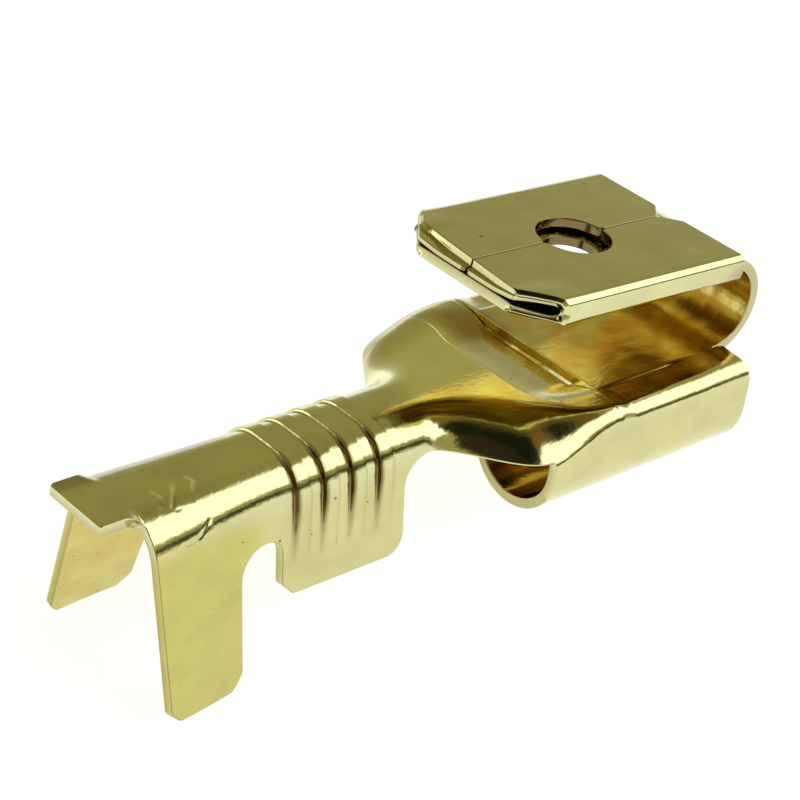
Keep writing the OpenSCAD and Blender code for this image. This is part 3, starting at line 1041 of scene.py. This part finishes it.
def darkening(u, v, share):
    """Share of painted shade and darkening at each point of the outer face, the inner face or the
    rim.
    """
    reach = np.abs(v)
    turned = past_bend(u, v)
    if share == 1.0:
        # painted shade on the stop's long far ramp
        ramp_painted_shade = ramp_shade_share * far_ramp(u, v)
        dark_shares = [rib_painted_shade(u, v), ramp_painted_shade, under_tab_painted_shade(u, v), far_bend_darkening(u, v)]
        return np.maximum.reduce(dark_shares)
    if share == 0.0:
        # painted shade inside the curls, on their inner face
        return curl_painted_shade * ease(reach, *curl_shade_v) * (u > curl_rear) * ~turned
    on_curl_edge = (np.abs(u - curl_rear) < curl_edge) & (reach > curl_edge_v)
    torn = torn_film * ((share < 0.5) | (turned & (u < bend_end)) | on_curl_edge)
    # the burr side of the cut rim on the barrels is only made darker
    burr = burr_dark * (share > 1 - round_share) * (u < wire_front) * ease(reach, *burr_v)
    return np.maximum.reduce([wall_painted_shade(u, v), torn, burr])


print("The film covers up to", round(float(darkening(blank_u, blank_v, 1.0).max()), 2), "of the face")

# %% [markdown]
# ## Colour of the brass
#
# Where the tools have burnished it, the brass is pale. The walls of the barrels keep the mill's
# grain and look deeper yellow. The neck is painted lighter, a painted reflection, and the fresh
# nicks, bare metal, get a painted highlight that makes them the brightest. Each point of the sheet
# gets its colour from where it lies on the blank, and on which face.

# %% Tone of each point
open_brass = np.array([0.64, 0.625, 0.32])
grain_brass = np.array([0.55, 0.50, 0.155])
# the deep amber of the hollows is a painted reflection of brass in brass
hollow_reflection_brass = np.array([0.72, 0.48, 0.10])
# the nicks are bare metal with a painted highlight
nick_highlight_brass = np.array([1.0, 0.98, 0.62])
# one dark brown for the painted shade and the other darker places
darkening_brown = np.array([0.12, 0.06, 0.012])
# painted reflection that lightens the neck
neck_reflection = 0.35
wing_v = (1.5, 2.4)
wire_wing_rub = 0.55
curl_wall_v = (3.4, 4.2)
curl_wall_share = 0.4
neck_v = (1.6, 2.8)
crown_edge_v = (-1.05, -0.9)


def blend(first, second, share):
    """The first colour with the given share of the second at each point."""
    return first + (second - first) * share[:, None]


def tone(u, v, share):
    """A blend of the colours, and how deep in a hollow the point lies."""
    reach = np.abs(v)
    wing = ease(reach, *wing_v) * (1 - ease(u, wire_front, neck_rear))
    wing = wing * (1 - wire_wing_rub * ease(u, grip_front, wire_rear))
    curl_wall = curl_wall_share * ease(reach, *curl_wall_v) * (u > curl_rear)
    neck = between(u, neck_rear, neck_rear + 1, stop_rear, stop_rear + 1)
    neck = neck * (1 - ease(reach, *neck_v))
    deep = hollow(u, v, share)
    colour = blend(open_brass, grain_brass, np.where(past_bend(u, v), 0, wing + curl_wall))
    # painted reflection: the neck is made lighter
    colour = colour * (1 + neck_reflection * neck)[:, None]
    # painted highlight on the fresh nicks of the crown
    colour = blend(colour, nick_highlight_brass, np.clip(marks(u, v), 0, 1) * ease(v, *crown_edge_v))
    # painted reflection: deep amber in the hollows
    colour = blend(colour, hollow_reflection_brass, deep)
    # painted shade and darker places
    colour = blend(colour, darkening_brown, darkening(u, v, share))
    return np.concatenate([colour, deep[:, None]], 1)


face_shares = [1.0, 0.0] + [thick_share for out_share, thick_share, angle in rim_rings]
tones = np.concatenate([tone(*place.T, share) for place, share in zip(flat_map, face_shares)])
tone_layer = mesh.attributes.new("tone", "FLOAT_COLOR", "POINT")
tone_layer.data.foreach_set("color", tones.astype(np.float32).ravel())
print("The colour runs from", tones.min(0).round(2), "to", tones.max(0).round(2))

# %% [markdown]
# ## Shader nodes
#
# A material is a tree of nodes. A few helpers keep it readable: one adds a node and links or sets
# its inputs, one lays noise on the flat blank, and two do arithmetic.

# %% Helpers for materials
def add_node(tree, kind, inputs=None, **settings):
    """A new shader node with the given settings. Each input is a socket to link or a value."""
    node = tree.nodes.new("ShaderNode" + kind)
    for name, value in settings.items():
        setattr(node, name, value)
    for name, value in (inputs or {}).items():
        if isinstance(value, bpy.types.NodeSocket):
            tree.links.new(value, node.inputs[name])
        else:
            node.inputs[name].default_value = value
    return node


def vector_step(tree, operation, inputs):
    """One step of arithmetic with vectors."""
    return add_node(tree, "VectorMath", inputs, operation=operation).outputs[0]


def combine(tree, operation, first, second):
    """One step of arithmetic with two numbers."""
    return add_node(tree, "Math", {0: first, 1: second}, operation=operation).outputs[0]


def remap(tree, value, low, high, to_low, to_high):
    """A value between low and high, brought to lie between two others."""
    limits = {"From Min": low, "From Max": high, "To Min": to_low, "To Max": to_high}
    return add_node(tree, "MapRange", {"Value": value, **limits}).outputs["Result"]


def sheet_noise(tree, place, stretch, detail):
    """Noise on the blank, with so many waves to a millimetre along and across the strip."""
    scaled = vector_step(tree, "MULTIPLY", {0: place, 1: (*stretch, 1)})
    inputs = {"Vector": scaled, "Scale": 1.0, "Detail": detail}
    return add_node(tree, "TexNoise", inputs).outputs["Fac"]


def bump(tree, depth, strength, inputs):
    """Normal of a surface that is pressed in or out by a height, with depth in millimetres."""
    inputs = {"Strength": strength, "Distance": depth * mm, **inputs}
    return add_node(tree, "Bump", inputs).outputs["Normal"]


def new_tree(name):
    """A new material with the given name, and its tree of nodes."""
    material = bpy.data.materials.new(name)
    material.use_nodes = True
    return material, material.node_tree


brass, tree = new_tree("bright_brass")
print("The new material starts with", len(tree.nodes), "nodes")

# %% [markdown]
# ## Finish of the brass
#
# Rolling leaves fine lines along the strip, which make its gloss uneven. On top come soft clouds
# of colour, a grain too fine to see as lines, and a few dark specks. In the hollows, rubbed patches
# are paler and the surface is slightly wavy. All of them are noise on the flat blank, so they
# follow the sheet round its folds as on the real strip.

# %% Brass finish
brass_shader = tree.nodes["Principled BSDF"]
brass_shader.inputs["Metallic"].default_value = 1.0
blank_place = add_node(tree, "UVMap", uv_map="flat_blank").outputs["UV"]
lines = sheet_noise(tree, blank_place, (0.6, 16.0), 4.0)
clouds = sheet_noise(tree, blank_place, (0.7, 0.9), 3.0)
fine_grain = sheet_noise(tree, blank_place, (18.0, 26.0), 2.0)
spots = sheet_noise(tree, blank_place, (4.6, 5.2), 0.0)
rubbing = sheet_noise(tree, blank_place, (0.8, 1.2), 3.0)
unevenness = sheet_noise(tree, blank_place, (5.0, 7.0), 3.0)
swell = sheet_noise(tree, blank_place, (0.5, 1.1), 1.0)

specks = remap(tree, spots, 0.85, 0.89, 0.0, 1.0)
cloud_shade = remap(tree, clouds, 0.3, 0.7, 0.93, 1.06)
shade = combine(tree, "MULTIPLY", cloud_shade, remap(tree, specks, 0, 1, 1.0, 0.35))
tone_node = add_node(tree, "Attribute", attribute_name="tone")
base_tone = tone_node.outputs["Color"]
in_hollow = tone_node.outputs["Alpha"]
patches = combine(tree, "MULTIPLY", remap(tree, rubbing, 0.42, 0.62, 0.0, 1.0), in_hollow)
rub_tint = (0.10, 0.45, 1.1)
rubbed = vector_step(tree, "SCALE", {0: rub_tint, "Scale": patches})
tinted = vector_step(tree, "MULTIPLY_ADD", {0: base_tone, 1: rubbed, 2: base_tone})
shaded = vector_step(tree, "SCALE", {0: tinted, "Scale": shade})
tree.links.new(shaded, brass_shader.inputs["Base Color"])

line_gloss = remap(tree, lines, 0.3, 0.7, 0.07, 0.14)
gloss = combine(tree, "ADD", line_gloss, remap(tree, specks, 0, 1, 0.0, 0.3))
gloss = combine(tree, "ADD", gloss, remap(tree, in_hollow, 0, 1, 0.0, 0.06))
tree.links.new(gloss, brass_shader.inputs["Roughness"])

relief = combine(tree, "ADD", lines, remap(tree, fine_grain, 0, 1, 0.0, 0.5))
normal = bump(tree, 0.0012, 0.5, {"Height": relief})
normal = bump(tree, 0.004, 1.0, {"Height": unevenness, "Normal": normal})
waves = combine(tree, "MULTIPLY", swell, in_hollow)
normal = bump(tree, 0.045, 1.0, {"Height": waves, "Normal": normal})
tree.links.new(normal, brass_shader.inputs["Normal"])
mesh.materials.append(brass)
print("The brass has", len(tree.nodes), "nodes")

# %% [markdown]
# ## Floor
#
# The terminal lies on plain white paper. Its floor is a wide flat sheet. To the camera and in the
# metal's reflections it adds a steady white glow to its own lit surface, so that the background is
# white without brighter lamps, and the soft shadow under the terminal still shows.

# %% White floor
scene = bpy.context.scene
scene.view_settings.view_transform = "Standard"
corner_signs = ((-1, -1), (1, -1), (1, 1), (-1, 1))


def flat_sheet(name, corners):
    """A mesh object of one four-cornered face with a plain UV square."""
    sheet_mesh = bpy.data.meshes.new(name)
    sheet_mesh.from_pydata(corners, [], [(0, 1, 2, 3)])
    square = sheet_mesh.uv_layers.new(name="square")
    square.data.foreach_set("uv", np.array([0, 0, 1, 0, 1, 1, 0, 1], np.float32))
    sheet_object = bpy.data.objects.new(name, sheet_mesh)
    scene.collection.objects.link(sheet_object)
    return sheet_object


floor_reach = 3.0
floor_glow = 0.78
floor_colour = (0.68, 0.72, 0.95, 1)
floor = flat_sheet("floor", [(floor_reach * i, floor_reach * j, 0) for i, j in corner_signs])
paper, tree = new_tree("white_paper")
tree.nodes.clear()
ray = add_node(tree, "LightPath")
seen = combine(tree, "MAXIMUM", ray.outputs["Is Camera Ray"], ray.outputs["Is Glossy Ray"])
seen = combine(tree, "MAXIMUM", seen, ray.outputs["Is Transmission Ray"])
glow_level = combine(tree, "MULTIPLY", seen, floor_glow)
matt = add_node(tree, "BsdfDiffuse", {"Color": floor_colour})
glow = add_node(tree, "Emission", {"Strength": glow_level})
both = add_node(tree, "AddShader", {0: matt.outputs[0], 1: glow.outputs[0]})
add_node(tree, "OutputMaterial", {"Surface": both.outputs[0]})
floor.data.materials.append(paper)
print("The floor reaches", floor_reach, "m to each side")

# %% [markdown]
# ## Light
#
# Polished metal shows its surroundings more than its own colour, so the light is a small studio.
# Its room is bright near the floor, olive higher up and nearly black overhead.

# %% Room
room_bands = [
    (0.00, (0.80, 0.80, 0.74)),
    (0.10, (0.48, 0.46, 0.34)),
    (0.30, (0.37, 0.34, 0.15)),
    (0.70, (0.36, 0.33, 0.14)),
    (0.88, (0.22, 0.17, 0.06)),
    (1.00, (0.05, 0.035, 0.01)),
]
world = bpy.data.worlds.new("studio")
scene.world = world
world.use_nodes = True
room = world.node_tree
direction = add_node(room, "TexCoord")
parts = add_node(room, "SeparateXYZ", {0: direction.outputs["Generated"]})
bands = add_node(room, "ValToRGB", {"Fac": parts.outputs["Z"]})
for place, colour in room_bands[1:-1]:
    bands.color_ramp.elements.new(place)
for stop, (place, colour) in zip(bands.color_ramp.elements, room_bands):
    stop.position = place
    stop.color = (*colour, 1)
room.links.new(bands.outputs["Color"], room.nodes["Background"].inputs["Color"])
print("The room's colour changes over", len(room_bands), "heights")

# %% [markdown]
# ## Softboxes and cards
#
# Three softboxes draw the bright streaks: a broad one to the right, a narrow one to the left and a
# low one behind. Five cards take light away. Two dark ones above the camera draw the dark streaks
# on the bends, a brown one above the mouth and a low green one to the right tint what faces them,
# and a low dark one stands beyond the wire end. The camera sees none of them.

# %% Softboxes and cards
panel_distance = 0.4


def panel(name, azimuth, elevation, width, height, roll, colour, strength, soft):
    """A flat panel that faces the terminal, with edges that fade over the share soft.

    Azimuth is counted from +y towards +x. Width and height are the angles that it covers."""
    a, e, r = np.radians([azimuth, elevation, roll])
    facing = np.array([np.sin(a) * np.cos(e), np.cos(a) * np.cos(e), np.sin(e)])
    level = np.array([np.cos(a), -np.sin(a), 0])
    upright = np.cross(level, facing)
    wide = np.cos(r) * level + np.sin(r) * upright
    tall = np.cos(r) * upright - np.sin(r) * level
    half_w, half_h = np.tan(np.radians([width, height]) / 2) * panel_distance
    corners = [panel_distance * facing + half_w * i * wide + half_h * j * tall
               for i, j in corner_signs]
    made = flat_sheet(name, corners)
    made.visible_camera = False
    made.visible_shadow = False
    material, tree = new_tree(name)
    tree.nodes.clear()
    place = add_node(tree, "UVMap", uv_map="square").outputs["UV"]
    centred = vector_step(tree, "MULTIPLY_ADD", {0: place, 1: (2, 2, 0), 2: (-1, -1, 0)})
    offset = vector_step(tree, "ABSOLUTE", {0: centred})
    split = add_node(tree, "SeparateXYZ", {0: offset})
    furthest = combine(tree, "MAXIMUM", split.outputs["X"], split.outputs["Y"])
    limits = {"Value": furthest, "From Min": 1.0, "From Max": 1.0 - soft}
    fade = add_node(tree, "MapRange", limits, interpolation_type="SMOOTHSTEP")
    clear = add_node(tree, "BsdfTransparent")
    light = add_node(tree, "Emission", {"Color": (*colour, 1), "Strength": strength})
    layers = {"Fac": fade.outputs["Result"], 1: clear.outputs[0], 2: light.outputs[0]}
    mix = add_node(tree, "MixShader", layers)
    add_node(tree, "OutputMaterial", {"Surface": mix.outputs[0]})
    made.data.materials.append(material)


panel("softbox_right", 131, 34, 84, 38, 10, (1.0, 1.0, 1.0), 2.0, 0.3)
panel("softbox_left", -95, 55, 45, 22, 0, (1.0, 1.0, 0.90), 1.3, 0.4)
panel("black_card", -150, 62, 36, 70, 25, (0.03, 0.02, 0.01), 1.0, 0.4)
panel("dark_card", 186, 66, 50, 34, 0, (0.01, 0.012, 0.005), 1.0, 0.4)
panel("brown_card", 84, 63, 76, 18, 0, (0.20, 0.12, 0.02), 1.0, 0.4)
panel("green_card", 147, 8, 50, 9, 0, (0.06, 0.075, 0.01), 1.0, 0.4)
panel("softbox_back", -40, 12, 44, 26, 0, (1.0, 1.0, 0.95), 1.6, 0.3)
panel("low_card", -92, 2, 40, 18, 0, (0.02, 0.015, 0.0), 1.0, 0.3)
print("Eight panels stand", panel_distance, "m from the terminal")

# %% [markdown]
# ## Camera
#
# The terminal is seen through a long lens, from above its near side at the wire end. The camera's
# place, its lens and its slight roll were fitted, so that the corners of the sheet lie where the
# photo shows them.

# %% Camera
camera_data = bpy.data.cameras.new("camera")
camera_data.lens = 108.78
camera_data.sensor_width = 36.0
camera_data.clip_start = 0.001
camera = bpy.data.objects.new("camera", camera_data)
scene.collection.objects.link(camera)
eye = Vector((-35.690, -39.933, 43.779))
target = Vector((-0.112, 0.462, 4.0))
roll = np.radians(1.151)
back = (eye - target).normalized()
level_right = Vector((0, 0, 1)).cross(back).normalized()
level_up = back.cross(level_right)
right = np.cos(roll) * level_right + np.sin(roll) * level_up
up = back.cross(right)
camera_turn = Matrix((right, up, back)).transposed().to_4x4()
camera.matrix_world = Matrix.Translation(eye * mm) @ camera_turn
scene.camera = camera
print("The camera stands", round((eye - target).length), "mm from the terminal")
